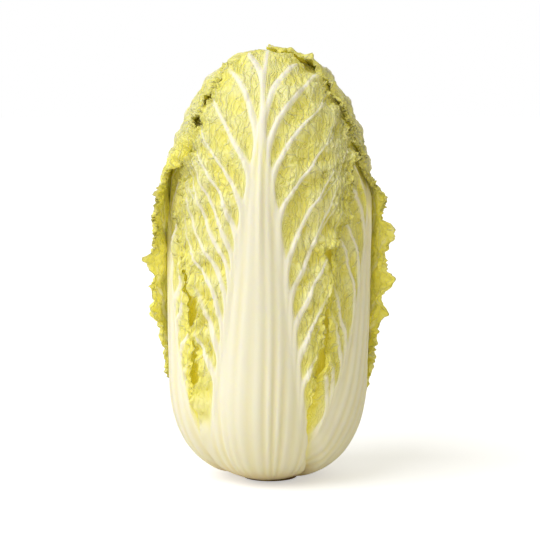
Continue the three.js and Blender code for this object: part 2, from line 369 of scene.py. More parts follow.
@dataclass(frozen=True)
class Stalk:
    """The broad fleshy midrib: wide at the foot and narrowing to a line."""

    half_width: float = 45.0
    reach: float = 270.0
    tip_half_width: float = 2.0
    widest: float = 35.0
    foot_spread: float = 24.0
    bulge: float = 6.0
    flute: float = 8.6
    flute_height: float = 0.8
    flute_end: float = 275.0

    FOOT_END = 75.0
    FLUTE_START = (4.0, 30.0)
    FLUTE_FADE = 170.0
    FLUTE_SIDE = (0.75, 1.1)
    FLUTE_NARROWING = 0.4
    FLUTE_NARROWS = (60.0, 260.0)
    PALE_SIDE = (0.93, 1.16)
    PALE_FALL = (185.0, 290.0)
    SHADE_RISE = (60.0, 200.0)

    def half(self, travel: Array) -> Array:
        """Half width of the stalk at a way up, if it went on narrowing evenly."""
        return self.half_width * (1.0 - travel / self.reach) + self.tip_half_width

    def edge(self, travel: Array) -> Array:
        """Half width of the stalk where it really ends, spreading again into its foot."""
        foot = self.foot_spread * (1.0 - smoothstep(0.0, self.FOOT_END, travel))
        return np.clip(self.half(travel), self.tip_half_width, self.widest) + foot

    def grooves(self, rng: np.random.Generator, f: LeafField, edge: Array) -> tuple[Array, Array]:
        """Draw the flutes, which wander a little and narrow upwards.

        Args:
            rng: The seeded source of the draws.
            f: The leaf's fields.
            edge: Half width of the stalk.

        Returns:
            The depth of the grooves from 0 to 1, and how much of them shows.
        """
        width = self.flute * (1.0 - self.FLUTE_NARROWING * smoothstep(*self.FLUTE_NARROWS, f.travel))
        index = f.lateral / width + 0.32 * f.ripple(rng, 46.0, stretch=5.0)
        groove = 0.5 - 0.5 * np.cos(math.tau * index)
        groove = groove * (0.62 + 0.38 * f.ripple(rng, 30.0, stretch=6.0))
        shown = 1.0 - smoothstep(self.FLUTE_FADE, self.flute_end, f.travel)
        shown = shown * smoothstep(*self.FLUTE_START, f.travel)
        return groove, shown * (1.0 - smoothstep(*self.FLUTE_SIDE, f.out / edge))

    def paleness(self, f: LeafField, edge: Array, groove: Array) -> Array:
        """How far a place has the stalk's cream colour, a little less in its grooves as painted shade."""
        pale = 1.0 - smoothstep(*self.PALE_SIDE, f.out / edge)
        # Painted shade: the grooves lose some cream and so turn yellower.
        pale = pale * (1.0 - 0.25 * groove * smoothstep(*self.SHADE_RISE, f.travel))
        return pale * (1.0 - 0.55 * smoothstep(*self.PALE_FALL, f.travel))


@dataclass(frozen=True)
class Veins:
    """Side veins that leave the stalk's edge and bend outwards to the margin."""

    left: tuple[float, ...]
    right: tuple[float, ...]
    spread: float = 0.66
    high_spread: float = 0.36
    onset: float = 20.0
    upturn: float = 0.8
    width: float = 2.5
    height: float = 1.7
    sag: float = 1.3

    SPREAD_FALL = (190.0, 290.0)
    UPTURN = (30.0, 92.0)
    LONGEST = 760.0
    LOWEST_ROOT = -400.0
    HALVINGS = 30
    WANDER_START = (-10.0, 30.0)
    TAPER = 110.0
    THINNEST = 0.24
    START = (-32.0, 4.0)
    MARGIN_FADE = (-3.0, 11.0)
    FORK_AT = (34.0, 62.0)
    FORK_LEAN = (0.22, 0.4)
    FORK_WIDTH = 0.6
    BRANCH_STARTS = (9.0, 100.0, 13.0)
    BRANCH_STRAY = 4.0
    BRANCH_SLANT = (0.75, 1.25)
    BRANCH_REACH = 18.0
    BRANCH_WIDTH = 0.8

    def spread_at(self, root: Array) -> Array:
        """Steepest slope of a vein against the midrib, less for the roots near the tip."""
        return self.spread + (self.high_spread - self.spread) * smoothstep(*self.SPREAD_FALL, root)

    def slope(self, way: Array) -> Array:
        """Slope of a vein as a share of its steepest, after a way up from its root."""
        way = np.maximum(way, 0.0)
        onset = (way**2 + 2.0 * way * self.onset) / (way + self.onset) ** 2
        return onset * (1.0 - self.upturn * smoothstep(*self.UPTURN, way))

    def reach(self, way: Array) -> Array:
        """How far out a vein of slope 1 has gone, after a way up from its root."""
        ways = np.arange(0.0, self.LONGEST, 1.0)
        slopes = self.slope(ways)
        sums = np.concatenate([[0.0], np.cumsum(0.5 * (slopes[1:] + slopes[:-1]))])
        return np.interp(way, ways, sums)

    def roots(self, stalk: Stalk, out: Array, travel: Array) -> Array:
        """Find the height at which the vein through each place leaves the stalk.

        Args:
            stalk: The midrib that the veins leave.
            out: Distances from the midrib.
            travel: Ways up from the foot.

        Returns:
            The height of the root, above travel inside the stalk itself.
        """
        inside = stalk.reach * (1.0 - (out - stalk.tip_half_width) / stalk.half_width)
        low, high = np.full_like(out, self.LOWEST_ROOT), travel.copy()
        for _ in range(self.HALVINGS):
            middle = 0.5 * (low + high)
            beyond = stalk.half(middle) + self.spread_at(middle) * self.reach(travel - middle) > out
            low = np.where(beyond, middle, low)
            high = np.where(beyond, high, middle)
        return np.where(out < stalk.half(travel), inside, 0.5 * (low + high))

    def steepness(self, stalk: Stalk, roots: Array, way: Array) -> Array:
        """How fast the root height changes across the veins, per unit of distance."""
        narrowing = stalk.half_width / stalk.reach
        lean = self.spread_at(roots) * self.slope(way)
        thinning = (self.spread_at(roots - 1.0) - self.spread_at(roots + 1.0)) / 2.0 * self.reach(way)
        outside = np.sqrt(1.0 + lean**2) / (narrowing + lean + thinning)
        return np.where(way > 0.0, outside, 1.0 / narrowing)

    def course(self, rng: np.random.Generator, stalk: Stalk,
               f: LeafField) -> tuple[Array, Array, Array]:
        """Follow the veins over a leaf.

        Args:
            rng: The seeded source of how the veins wander.
            stalk: The midrib that the veins leave.
            f: The leaf's fields.

        Returns:
            The height of each place's root, the way up from it, and how fast the root changes
            per unit of distance.
        """
        wander = 3.0 * f.ripple(rng, 80.0) + 0.5 * f.ripple(rng, 30.0)
        roots = self.roots(stalk, f.out, f.travel)
        way = f.travel - roots
        steep = self.steepness(stalk, roots, way)
        return roots + wander * smoothstep(*self.WANDER_START, way), way, steep

    def relief(self, rng: np.random.Generator, f: LeafField, roots: Array, way: Array,
               steep: Array) -> tuple[Array, Array]:
        """Raise the side veins, their forks and their branches.

        Args:
            rng: The seeded source of forks and branches.
            f: The leaf's fields.
            roots: Height at which the vein through each place leaves the stalk.
            way: Way up from that root.
            steep: Change of root height per unit of distance.

        Returns:
            The height of the veins from 0 to 1, and the distance to the nearest side vein.
        """
        taper = np.clip(1.0 - np.maximum(way, 0.0) / self.TAPER, self.THINNEST, 1.0)
        fade = smoothstep(*self.START, way) * smoothstep(*self.MARGIN_FADE, f.margin)
        width = self.width * taper
        ridge = np.zeros_like(way)
        nearest = np.full_like(way, 99.0)
        for hand, places in ((-1.0, self.left), (1.0, self.right)):
            here = f.hand == hand
            for place in places:
                apart = np.abs(roots - place) / steep
                tallest = np.exp(-(apart / width) ** 2) * (0.35 + 0.65 * taper) * fade
                past = np.maximum(way - rng.uniform(*self.FORK_AT), 0.0)
                fork = np.abs(roots - place + rng.uniform(*self.FORK_LEAN) * past) / steep
                twig = np.exp(-(fork / (self.FORK_WIDTH * width)) ** 2) * 0.55 * fade
                tallest = np.maximum(tallest, twig * smoothstep(0.0, 8.0, past))
                turn = rng.choice((-1.0, 1.0))
                starts = np.arange(*self.BRANCH_STARTS)
                starts = starts + rng.uniform(-self.BRANCH_STRAY, self.BRANCH_STRAY, len(starts))
                for start in starts:
                    slant, turn = turn * rng.uniform(*self.BRANCH_SLANT), -turn
                    gone = np.maximum(way - start, 0.0)
                    line = np.abs(roots - place + slant * gone)
                    line = line / (steep * math.sqrt(1.0 + 0.3 * slant**2))
                    shown = smoothstep(0.0, 3.0, gone) * np.exp(-gone / self.BRANCH_REACH)
                    branch = np.exp(-(line / self.BRANCH_WIDTH) ** 2) * 0.5 * fade * shown
                    tallest = np.maximum(tallest, branch)
                ridge = np.where(here, np.maximum(ridge, tallest), ridge)
                nearest = np.where(here, np.minimum(nearest, apart), nearest)
        return ridge, nearest


def even_roots(rng: np.random.Generator, first: float = 70.0, last: float = 262.0,
               steps: int = 10) -> tuple[float, ...]:
    """Roots of side veins, closer together low on the stalk, each a little out of step."""
    shares = (np.arange(steps) + rng.uniform(-0.22, 0.22, steps)) / (steps - 1)
    return tuple(first + (last - first) * np.clip(shares, 0.0, 1.0) ** 1.35)


@dataclass
class Leaf:
    """One leaf of the head, and the mesh work that builds it."""

    name: str
    ring: Ring
    azimuth: float
    depth: float
    rib: float
    lean: float = 0.0
    lean_end: float = 1.0
    tip: float = 84.0
    flare: float = 0.0
    flare_rise: tuple[float, float] = (0.3, 0.5)
    flare_fall: tuple[float, float] = (0.8, 1.0)
    seed: int = 1
    stalk: Stalk = field(default_factory=Stalk)
    roll: float = 0.0
    veins: Veins | None = None
    left: Outline | None = None
    right: Outline | None = None

    DROOP = 0.2
    POINT = 1.4
    CROWD = 0.22
    UNDERCUT = 0.02
    SETTLING = 4
    FLARE_SIDE = (0.45, 1.0)
    TUCK_RISE = (10.0, 90.0)

    def length(self, skin: HeadShape) -> float:
        """Way along the midrib from foot to tip."""
        return skin.straight_end + skin.dome_quarter * self.tip / 90.0

    def turn(self, share: Array) -> Array:
        """Azimuth of the midrib at a share of the leaf's length."""
        risen = np.clip(share / self.lean_end, 0.0, 1.0)
        return self.azimuth + self.lean * np.sin(risen * math.pi / 2.0)

    def half_angle(self, across: Array, share: Array) -> Array:
        """Degrees from the midrib to the margin, on the side that across is on."""
        habit = HABITS[self.ring]
        left, right = self.left or habit.left, self.right or habit.right
        return np.where(across < 0.0, along(left, share), along(right, share))

    def rounded(self, across: Array, share: Array) -> Array:
        """Degrees from the midrib to the margin, with the tip rounded off."""
        tip = np.clip((1.0 - share) / self.DROOP, 0.0, 1.0) ** (1.0 / self.POINT)
        return self.half_angle(across, share) * tip

    def locate(self, skin: HeadShape, azimuth: Array, level: Array,
               direction: Array) -> tuple[Array, Array]:
        """Find places of the head on this leaf.

        Args:
            skin: The head's skin.
            azimuth: Degrees round the head.
            level: Way up along the skin.
            direction: Unit direction of each place.

        Returns:
            Degrees to the side of the midrib, and share of the leaf's length.
        """
        length = self.length(skin)
        share = level / length
        across = (azimuth - self.turn(share) + 180.0) % 360.0 - 180.0
        for _ in range(self.SETTLING):
            facing = turned(direction, -self.turn(share))
            y, z = facing[..., 1], np.maximum(facing[..., 2], 1e-9)
            cross = np.maximum((y * z) ** 2, 1e-12)
            root = np.sqrt(np.maximum(0.0, 1.0 - 4.0 * cross))
            stretch = np.sqrt((1.0 - root) / (2.0 * cross))
            climb = np.degrees(np.arcsin(np.clip(stretch * z, -1.0, 1.0)))
            climb = np.where(facing[..., 0] < 0.0, 180.0 - climb, climb)
            high_across = np.degrees(np.arcsin(np.clip(stretch * y, -1.0, 1.0)))
            high_share = (skin.straight_end + climb / 90.0 * skin.dome_quarter) / length
            share = np.where(level > skin.straight_end, high_share, share)
        return np.where(level > skin.straight_end, high_across, across), share

    def free_depth(self, skin: HeadShape, across: Array, share: Array) -> tuple[Array, Array, Array]:
        """Shape the leaf as it would lie with nothing over it.

        Args:
            skin: The head's skin.
            across: Degrees to the side of the midrib.
            share: Share of the leaf's length.

        Returns:
            Depth of the outer face under the skin, the leaf's thickness there, and how far its
            free margin would flare out from that depth.
        """
        body = np.clip(1.0 - share, 0.0, 1.0)
        out = np.radians(np.abs(across)) * skin.radius
        off_rib = np.minimum(1.0, out / self.stalk.edge(share * self.length(skin))) ** 2
        margin = smoothstep(*self.FLARE_SIDE, np.abs(across) / self.half_angle(across, share))
        flare = self.flare * margin * smoothstep(*self.flare_rise, share)
        flare = flare * (1.0 - smoothstep(*self.flare_fall, share))
        blade = HABITS[self.ring].blade
        thickness = blade + np.maximum(0.0, self.rib * np.sqrt(body) - blade) * (1.0 - off_rib)
        risen = smoothstep(*self.TUCK_RISE, share * self.length(skin))
        tuck = self.stalk.bulge * (0.3 + 0.7 * risen)
        return self.depth + tuck * off_rib * body, thickness, flare


class LeafStack:
    """How deep the head is filled by the leaves laid so far, over a chart of its skin."""

    AZIMUTHS = 240
    LEVELS = 120
    CLEARANCE = 1.3
    FRINGE = 4.0
    RELIEF = 0.45
    EMPTY = -60.0

    def __init__(self, skin: HeadShape) -> None:
        """Start with nothing over the head."""
        self.skin = skin
        self.top = skin.straight_end + skin.dome_quarter
        azimuth = np.arange(self.AZIMUTHS) * 360.0 / self.AZIMUTHS
        level = np.linspace(0.0, self.top, self.LEVELS)
        self.azimuth, self.level = np.meshgrid(azimuth, level, indexing="ij")
        eye, direction = skin.aim(np.zeros_like(self.level), self.level)
        self.direction = turned(direction, self.azimuth)
        self.points = skin.point(eye, self.direction, np.zeros_like(self.level))
        self.filled = np.full_like(self.level, self.EMPTY)
        self.hidden = np.zeros_like(self.level)

    def lay(self, leaf: Leaf) -> None:
        """Fill the head with one more leaf, under those laid before it."""
        across, share = leaf.locate(self.skin, self.azimuth, self.level, self.direction)
        own, thickness, flare = leaf.free_depth(self.skin, across, np.clip(share, 0.0, 1.0))
        face = np.maximum(own, self.filled) + thickness - flare * (1.0 - self.hidden)
        inside = (share <= 1.0) & (np.abs(across) <= leaf.rounded(across, share))
        edge = inside & ~(np.roll(inside, 1, 0) & np.roll(inside, -1, 0)
                          & np.roll(inside, 1, 1) & np.roll(inside, -1, 1))
        spread = np.full_like(face, self.EMPTY)
        narrow = np.where(self.points[..., 2] < self.skin.hip,
                          np.hypot(self.points[..., 0], self.points[..., 1]) / self.skin.radius, 1.0)
        for place, depth in zip(self.points[edge], face[edge]):
            apart = np.linalg.norm(self.points - place, axis=-1) / np.maximum(narrow, 0.05)
            spread = np.maximum(spread, depth - np.maximum(0.0, apart - self.FRINGE) * self.RELIEF)
        laid = np.where(inside, np.maximum(face, self.filled - self.CLEARANCE), spread)
        self.filled = np.maximum(self.filled, laid + self.CLEARANCE)
        self.hidden = np.maximum(self.hidden, inside)

    def ceiling(self, azimuth: Array, level: Array) -> Array:
        """Least depth that is free under the leaves laid so far."""
        return self._read(self.filled, azimuth, level, 3)

    def shelter(self, azimuth: Array, level: Array) -> Array:
        """How far a place is covered by the leaves laid so far, from 0 to 1."""
        return self._read(self.hidden, azimuth, level, 4)

    def _read(self, chart: Array, azimuth: Array, level: Array, passes: int) -> Array:
        """Smooth a chart a few times and read it at places."""
        for _ in range(passes):
            chart = 0.5 * chart + 0.25 * (np.roll(chart, 1, 0) + np.roll(chart, -1, 0))
            padded = np.pad(chart, ((0, 0), (1, 1)), mode="edge")
            chart = 0.5 * chart + 0.25 * (padded[:, :-2] + padded[:, 2:])
        column = (azimuth % 360.0) / 360.0 * self.AZIMUTHS
        row = np.clip(level / self.top, 0.0, 1.0) * (self.LEVELS - 1)
        c0 = np.floor(column).astype(int)
        r0 = np.minimum(np.floor(row).astype(int), self.LEVELS - 2)
        fc, fr = column - c0, row - r0
        c0, c1 = c0 % self.AZIMUTHS, (c0 + 1) % self.AZIMUTHS
        low = chart[c0, r0] * (1.0 - fc) + chart[c1, r0] * fc
        high = chart[c0, r0 + 1] * (1.0 - fc) + chart[c1, r0 + 1] * fc
        return low * (1.0 - fr) + high * fr


@dataclass(frozen=True)
class Lobes:
    """The outline of a blade: a slow swing with large lobes and small ones on it."""

    swing_length: float = 46.0
    swing: float = 2.0
    large_width: float = 15.5
    large: float = 2.1
    small_width: float = 5.8
    small: float = 1.1
    inset: float = 1.6

    START = (20.0, 75.0)

    def draw(self, rng: np.random.Generator, rim_way: Array, travel: Array) -> Array:
        """Draw how far the outline stands out.

        Args:
            rng: The seeded source of the draws.
            rim_way: Ways along the margin.
            travel: Ways up from the foot.

        Returns:
            The distance outwards, none at the foot.
        """
        lobes = Ripple(rng, self.swing_length).on_line(rim_way) * self.swing
        lobes += Scallops(rng, self.large_width).on_line(rim_way) * self.large
        lobes += Scallops(rng, self.small_width).on_line(rim_way) * self.small
        return (lobes - self.inset) * smoothstep(*self.START, travel)


@dataclass(frozen=True)
class Pleats:
    """A row of pleats along a margin."""

    width: float
    height: float
    fade: float

    def draw(self, rng: np.random.Generator, way: Array, margin: Array) -> Array:
        """Draw the row and read its height."""
        return Scallops(rng, self.width).on_line(way) * self.height * np.exp(-margin / self.fade)


@dataclass(frozen=True)
class Frill:
    """The pleated, crumpled and rolled edge of a blade."""

    coarse: Pleats = Pleats(11.5, 3.2, 8.0)
    fine: Pleats = Pleats(5.4, 1.6, 6.5)
    tuck: Pleats = Pleats(9.0, 1.0, 4.0)
    slant: float = 0.6
    drift: float = 1.8
    drift_length: float = 14.0
    fold_width: float = 8.0
    swing: float = 1.4
    swing_length: float = 27.0
    swing_fade: float = 12.0
    crumple: float = 0.7
    crumple_length: float = 5.0
    crumple_fade: float = 9.0
    lip: float = 0.9
    dip: float = 1.9
    dip_fade: float = 6.0

    START = (22.0, 85.0)
    FOLD = (3.4, 2.7)
    LIP = (3.5, 2.2)
    ROLL_REACH = 2.2
    ROLL_RISE = (0.3, 0.5)
    ROLL_FALL = (0.7, 0.88)
    ROLL_TURN = 3.3
    LEAST_ROLL = 0.1

    def heights(self, rng: np.random.Generator, f: LeafField, roll: float) -> Array:
        """Draw how far the edge stands up from the blade.

        Args:
            rng: The seeded source of the draws.
            f: The leaf's fields.
            roll: Radius of the rolled edge.

        Returns:
            The height over the blade, before the stalk and the foot are left plain.
        """
        slanted = f.rim_way + self.slant * f.margin * f.hand
        slanted = slanted + self.drift * f.ripple(rng, self.drift_length)
        frill = self.coarse.draw(rng, slanted, f.margin)
        frill += self.fine.draw(rng, slanted, f.margin)
        frill += roll * Scallops(rng, self.fold_width).on_line(slanted) * f.band(*self.FOLD)
        swing = Ripple(rng, self.swing_length).on_line(f.rim_way)
        frill += swing * self.swing * f.rim(self.swing_fade)
        frill += f.ripple(rng, self.crumple_length) * self.crumple * f.rim(self.crumple_fade)
        return frill + self.lip * f.band(*self.LIP) - self.dip * f.rim(self.dip_fade)

    def rolled(self, f: LeafField, blade: Array, roll: float) -> tuple[Array, Array]:
        """Roll the edge over on itself.

        Args:
            f: The leaf's fields.
            blade: Where the blade is, from 0 to 1.
            roll: Radius of the roll.

        Returns:
            How far each place goes back towards the midrib, and how far up.
        """
        way = np.clip(roll * self.ROLL_REACH - f.margin, 0.0, None) * blade
        way = way * smoothstep(*self.ROLL_RISE, f.share)
        way = way * (1.0 - smoothstep(*self.ROLL_FALL, f.height))
        radius = max(roll, self.LEAST_ROLL)
        angle = np.minimum(way / radius, self.ROLL_TURN)
        return way - radius * np.sin(angle), radius * (1.0 - np.cos(angle))


@dataclass(frozen=True)
class Blisters:
    """The quilting of a blade: cells between its fine veins, in two sizes."""

    cell: float = 5.4
    height: float = 1.6
    slope: float = 2.4
    small_cell: float = 3.4
    small_height: float = 0.9
    small_slope: float = 1.5
    thread: float = 0.7
    thread_height: float = 0.12

    ALONG = 1.18
    BESIDE = 0.62
    CELL_LENGTH = 0.8
    HAND_APART = 300.0
    SMALL_APART = 100.0
    SMALL_BREADTH = 1.2
    PLUMP = (1.15, -0.75)
    RIM_PLUMP = 1.1
    RIM_FADE = 14.0
    SMALL_LEVEL = 0.35

    def chart(self, rng: np.random.Generator, f: LeafField, roots: Array,
              way: Array) -> tuple[Array, Array]:
        """Draw the wandering coordinates that the cells are laid out in.

        Args:
            rng: The seeded source of the draws.
            f: The leaf's fields.
            roots: Height at which the vein through each place leaves the stalk.
            way: Way up from that root.

        Returns:
            Coordinates along the side veins and across them.
        """
        along_vein = self.ALONG * way + 2.5 * f.ripple(rng, 30.0)
        beside_vein = self.BESIDE * roots + 2.0 * f.ripple(rng, 24.0)
        along_vein = along_vein + 1.6 * f.ripple(rng, 9.0)
        return along_vein, beside_vein + 1.6 * f.ripple(rng, 9.0)

    def net(self, f: LeafField, along_vein: Array) -> Array:
        """First coordinate of the net, set apart for the two halves of the leaf."""
        return along_vein * self.CELL_LENGTH + self.HAND_APART * f.hand

    def heights(self, rng: np.random.Generator, f: LeafField, along_vein: Array,
                beside_vein: Array) -> tuple[Array, Array]:
        """Draw the cells.

        Args:
            rng: The seeded source of the draws.
            f: The leaf's fields.
            along_vein: Coordinates along the side veins.
            beside_vein: Coordinates across them.

        Returns:
            The height of the quilting, and of the threads between its cells.
        """
        wall, level = Cells(rng, self.cell).read(self.net(f, along_vein), beside_vein)
        plump = self.PLUMP[0] * level + self.PLUMP[1] + self.RIM_PLUMP * f.rim(self.RIM_FADE)
        pillow = np.sqrt(np.clip(wall / self.slope, 0.0, 1.0)) * plump
        small_wall, small_level = Cells(rng, self.small_cell).read(along_vein + self.SMALL_APART,
                                                                   beside_vein * self.SMALL_BREADTH)
        crinkle = np.sqrt(np.clip(small_wall / self.small_slope, 0.0, 1.0))
        crinkle = crinkle * (small_level - self.SMALL_LEVEL)
        threads = self.thread_height * np.exp(-(wall / self.thread) ** 2)
        return self.height * pillow + self.small_height * crinkle, threads


@dataclass
class LeafBuilder:
    """Turns the plan of a leaf into a closed, crinkled shell."""

    skin: HeadShape
    stack: LeafStack
    lobes: Lobes = Lobes()
    frill: Frill = Frill()
    blisters: Blisters = Blisters()
    keel_height: float = 1.5
    keel_half_width: float = 3.3
    swell: float = 1.2
    wave: float = 0.5
    rim_wall: float = 0.45

    LOBE_STRETCH = 0.8
    TIP_STRETCH = 0.8
    ROW_CROWD = 0.12
    NEAR_NOTHING = 1e-9
    BEND_PLACE = 0.78
    BEND = 66.0
    COVERED = (0.05, 0.9)
    CREASE = 0.7
    CREAM_END = (30.0, 112.0)
    BLADE_START = 7.0
    DEEP = (3.0, 8.5)
    FLARE_LIT = 0.55
    EDGE_LIT = 2.8
    SAG_WIDTH = 5.2
    KEEL_RISE = (150.0, 215.0)
    KEEL_REACH = 360.0
    LOWEST = 0.2
    WALL_GROWTH = 0.3
    BACK_APART = 1000.0

    def shell(self, leaf: Leaf) -> bpy.types.Mesh:
        """Make the flat closed shell: two grids, one facing each way, joined round the edge."""
        habit = HABITS[leaf.ring]
        shell = bmesh.new()
        bmesh.ops.create_grid(shell, x_segments=habit.columns, y_segments=habit.rows, size=1.0)
        front = shell.faces[:]
        copy = bmesh.ops.duplicate(shell, geom=shell.verts[:] + shell.edges[:] + front)
        back = [item for item in copy["geom"] if isinstance(item, bmesh.types.BMFace)]
        corners = [item for item in copy["geom"] if isinstance(item, bmesh.types.BMVert)]
        bmesh.ops.translate(shell, verts=corners, vec=(0.0, 0.0, -1.0))
        bmesh.ops.reverse_faces(shell, faces=back)
        rim = [edge for edge in shell.edges if edge.is_boundary]
        bmesh.ops.bridge_loops(shell, edges=rim)
        for face in shell.faces:
            face.smooth = True
        mesh = bpy.data.meshes.new(leaf.name)
        shell.to_mesh(mesh)
        shell.free()
        return mesh

    def fields(self, leaf: Leaf, rng: np.random.Generator) -> LeafField:
        """Lay the leaf's grid out in its own coordinates.

        Args:
            leaf: The leaf.
            rng: The seeded source of its lobes.

        Returns:
            The leaf's fields.
        """
        habit = HABITS[leaf.ring]
        side, height = np.meshgrid(np.linspace(-1.0, 1.0, habit.columns + 1),
                                   np.linspace(0.0, 1.0, habit.rows + 1), indexing="ij")
        side = (1.0 + leaf.CROWD) * side - leaf.CROWD * side * np.abs(side)
        height = height + self.ROW_CROWD * np.sin(math.pi * height) * (1.0 - height)
        length = leaf.length(self.skin)
        droop = leaf.DROOP * height**3
        share = height - droop * np.abs(side) ** leaf.POINT - leaf.UNDERCUT * (1.0 - height) ** 12
        half = np.radians(leaf.half_angle(side, height - droop)) * self.skin.radius
        rim_way = self._rim_way(side * half, share * length, length)
        lobes = self.lobes.draw(rng, rim_way, share * length) * habit.frill
        near_tip = height**9
        out = np.abs(side) * (half + lobes * np.maximum(np.abs(side) ** 5, near_tip))
        across = np.degrees(out / self.skin.radius) * np.sign(side)
        travel = share * length + near_tip * lobes * self.LOBE_STRETCH
        climb = (travel - self.skin.straight_end) / self.skin.dome_quarter * 90.0
        narrow = np.cos(np.radians(np.clip(climb, 0.0, 80.0)))
        side_way = (1.0 - np.abs(side)) * half * (0.35 + 0.65 * narrow) + 0.01
        tip_way = (1.0 - height) * length * self.TIP_STRETCH + 0.01
        margin = (side_way**-2.0 + tip_way**-2.0) ** -0.5
        return LeafField(side, height, across, travel / length, travel, out, margin, rim_way)

    def _rim_way(self, lateral: Array, travel: Array, length: float) -> Array:
        """Way along the margin from the leaf's tip, negative on the left."""
        middle = self.BEND_PLACE * length
        over = self.BEND * np.arctan2(lateral, np.maximum(travel - middle, 1e-6))
        under = np.sign(lateral) * (self.BEND * math.pi / 2.0 + middle - travel)
        return np.where(travel > middle, over, under)

    def _unit(self, vectors: Array) -> Array:
        """Bring vectors to length 1."""
        lengths = np.linalg.norm(vectors, axis=-1, keepdims=True)
        return vectors / np.maximum(lengths, self.NEAR_NOTHING)

    def build(self, leaf: Leaf) -> bpy.types.Object:
        """Build one leaf under the leaves laid before it.

        Args:
            leaf: The plan of the leaf.

        Returns:
            The finished piece, in metres, at the origin.
        """
        rng = np.random.default_rng(leaf.seed)
        habit = HABITS[leaf.ring]
        f = self.fields(leaf, rng)
        own, thickness, flare = leaf.free_depth(self.skin, f.across, np.clip(f.share, 0.0, 1.0))
        eye, aim = self.skin.aim(f.across, f.travel)
        aim = turned(aim, leaf.turn(f.share))
        azimuth, level = self.skin.chart(f.travel, aim)
        covered = smoothstep(*self.COVERED, self.stack.shelter(azimuth, level))
        flare = flare * (1.0 - covered)
        depth = soft_max(own, self.stack.ceiling(azimuth, level), self.CREASE) - flare
        base = self.skin.point(eye, aim, depth)
        down_columns, down_rows = np.gradient(base, axis=0), np.gradient(base, axis=1)
        normal = self._unit(np.cross(down_columns, down_rows))
        sideways = self._unit(down_columns)

        veins = leaf.veins or Veins(even_roots(rng), even_roots(rng))
        roots, way, steep = veins.course(rng, leaf.stalk, f)
        edge = leaf.stalk.edge(f.travel)
        creamy = 1.0 - smoothstep(*self.CREAM_END, f.travel + 5.0 * f.ripple(rng, 24.0))
        blade = smoothstep(0.0, self.BLADE_START, f.out - edge) * (1.0 - 0.9 * creamy)
        ridge, nearest = veins.relief(rng, f, roots, way, steep)
        groove, flutes = leaf.stalk.grooves(rng, f, edge)
        keel_width = np.clip(1.0 - f.travel / self.KEEL_REACH, 0.1, 1.0) * self.keel_half_width + 0.5
        keel = np.exp(-(f.lateral / keel_width) ** 2) * smoothstep(*self.KEEL_RISE, f.travel)

        along_vein, beside_vein = self.blisters.chart(rng, f, roots, way)
        quilt, threads = self.blisters.heights(rng, f, along_vein, beside_vein)
        wavy = f.ripple(rng, 22.0)
        sag = veins.sag * (1.0 - np.exp(-(nearest / self.SAG_WIDTH) ** 2))
        frill = self.frill.heights(rng, f, leaf.roll)
        frill = frill * habit.frill * blade * smoothstep(*self.frill.START, f.travel)
        rim = f.rim(10.0)
        swell = self.swell * f.ripple(rng, 24.0) * (0.6 + 0.9 * rim)
        calm = 1.0 - 0.65 * covered
        shared = (swell + self.wave * wavy - sag + quilt * (0.8 + 0.9 * rim)) * blade * calm
        shared = shared * habit.relief + frill * (1.0 - 0.55 * covered)
        fine = veins.height * ridge + threads * blade
        fine += self.keel_height * keel * (0.25 + np.clip(1.0 - f.share, 0.0, 0.75))
        fine = (fine - leaf.stalk.flute_height * groove * flutes) * calm

        tucked = self.frill.tuck.draw(rng, f.rim_way, f.margin) * blade * habit.frill
        back, lift = self.frill.rolled(f, blade, leaf.roll)
        bend = sideways * (-(tucked + back) * f.hand)[..., None] + normal * lift[..., None]
        outer = base + normal * (shared + fine)[..., None] + bend
        outer[..., 2] = np.maximum(outer[..., 2], self.LOWEST)
        wall = np.minimum(thickness, self.rim_wall + self.WALL_GROWTH * f.margin)
        inner = base + normal * (shared - wall)[..., None] + bend

        # Deep-lying places are yellower, partly their own colour and partly painted shade.
        deep_and_shaded = smoothstep(*self.DEEP, depth)
        # Painted light: flared margins get a glow that stands in for light shining through them.
        flared_glow = self.FLARE_LIT * smoothstep(0.0, 8.0, flare)
        stalk = leaf.stalk.paleness(f, edge, groove)
        # Deep-lying stalks lose their cream, partly their own colour and partly painted shade.
        stalk = np.maximum(stalk, 0.85 * creamy) * (1.0 - 0.75 * deep_and_shaded)
        mesh = self.shell(leaf)
        self._shape(mesh, habit, outer, inner)
        self._store(mesh, {
            "pale": np.maximum(np.clip(np.maximum(ridge * 1.15, keel), 0.0, 1.0), stalk),
            # Painted shade: the blade's low places are marked for a deeper yellow.
            "hollow_shade": np.clip(0.5 - 0.35 * (shared - frill * 0.7), 0.0, 1.0),
            "margin": f.margin,
            "deep_and_shaded": deep_and_shaded,
            # lit is painted light: a glow in deep places, on flared margins and along the edges of
            # covering leaves.
            "lit": np.maximum(deep_and_shaded, flared_glow + self.EDGE_LIT * covered * (1.0 - covered)),
            "way": way,
            "apart": nearest,
            "groove": groove * flutes})
        self._unwrap(mesh, "leaf", f.lateral, f.travel)
        self._unwrap(mesh, "net", self.blisters.net(f, along_vein), beside_vein)
        piece = bpy.data.objects.new(leaf.name + "_shell", mesh)
        bpy.context.scene.collection.objects.link(piece)
        self.stack.lay(leaf)
        return piece

    @staticmethod
    def _places(mesh: bpy.types.Mesh) -> tuple[Array, Array, Array]:
        """Column, row and layer of each vertex, kept from the flat shell."""
        stored = np.empty(len(mesh.vertices) * 3)
        mesh.attributes["place"].data.foreach_get("vector", stored)
        column, row, layer = stored.reshape(-1, 3).T
        return column.astype(int), row.astype(int), layer > 0.5

